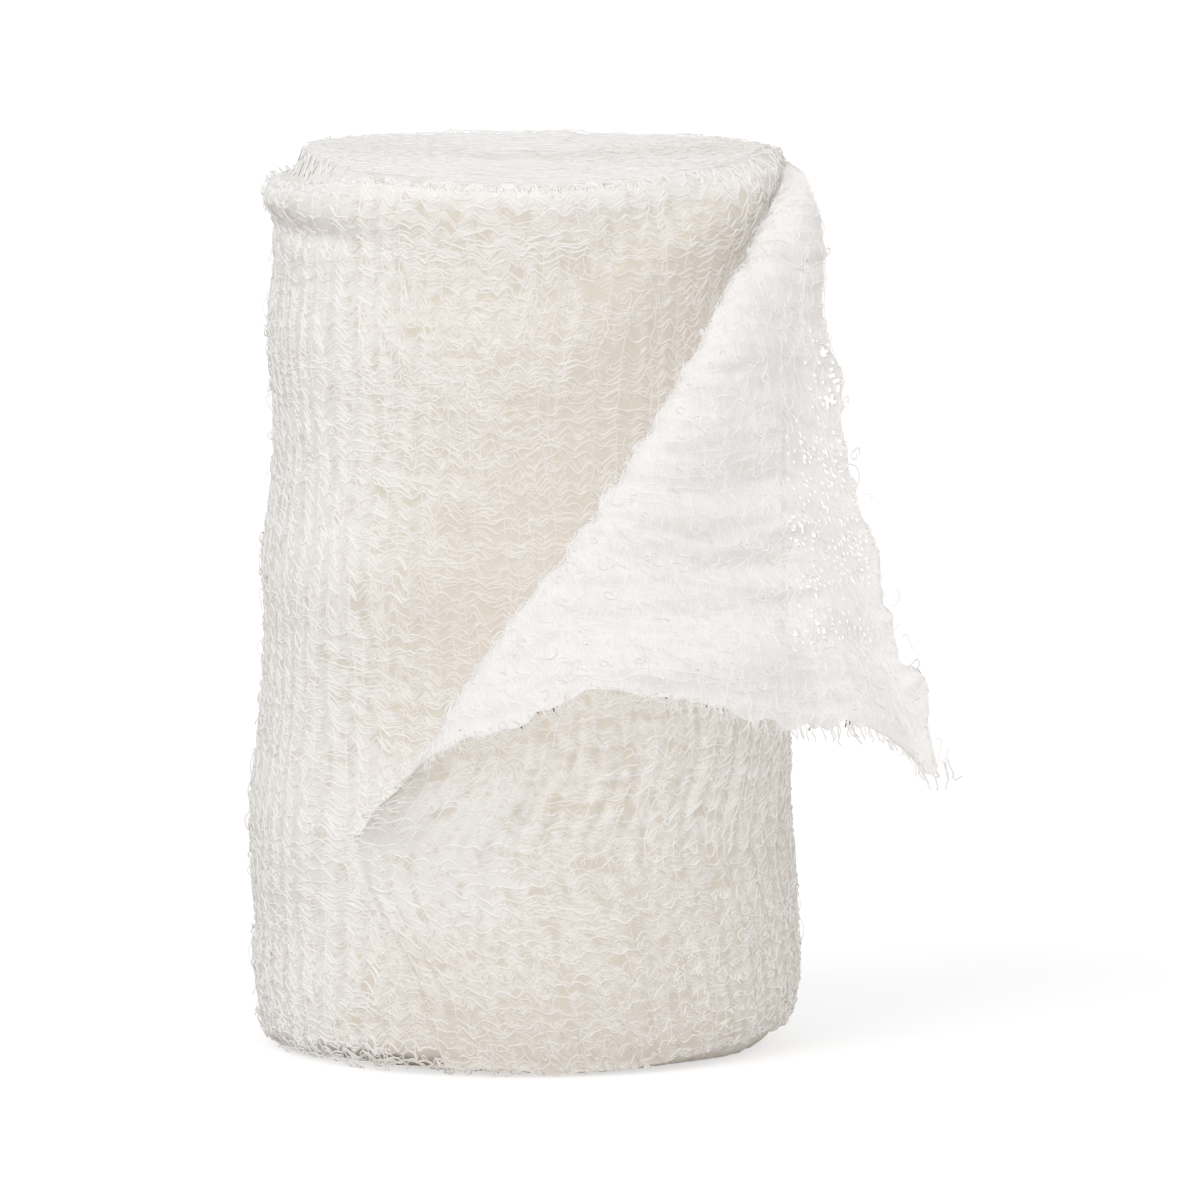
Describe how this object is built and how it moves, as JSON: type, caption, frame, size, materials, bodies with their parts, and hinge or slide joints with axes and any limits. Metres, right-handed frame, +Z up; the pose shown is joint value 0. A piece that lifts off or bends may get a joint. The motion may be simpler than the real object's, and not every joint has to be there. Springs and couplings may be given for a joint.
{
  "type": "gauze bandage roll",
  "caption": "Crinkled cotton gauze bandage wound into a soft roll and stood on end, its loose outer end peeled back from the top and hanging in a wide creased flap at one side.",
  "frame": {"origin": "middle of the flat end that the roll stands on", "axes": "+Z up along the roll's axis, -Y the front where the loose end folds over, +X the side that the flap hangs to"},
  "size_m": [0.0871, 0.0801, 0.1148],
  "materials": {
    "wound_gauze": "matt unbleached-white crinkled cotton gauze, many plies deep",
    "loose_gauze": "matt white crinkled cotton gauze, a few plies, open and see-through at its edge"
  },
  "bodies": {
    "root": {"roll": "wound_gauze", "loose_end": "loose_gauze"}
  },
  "joints": []
}
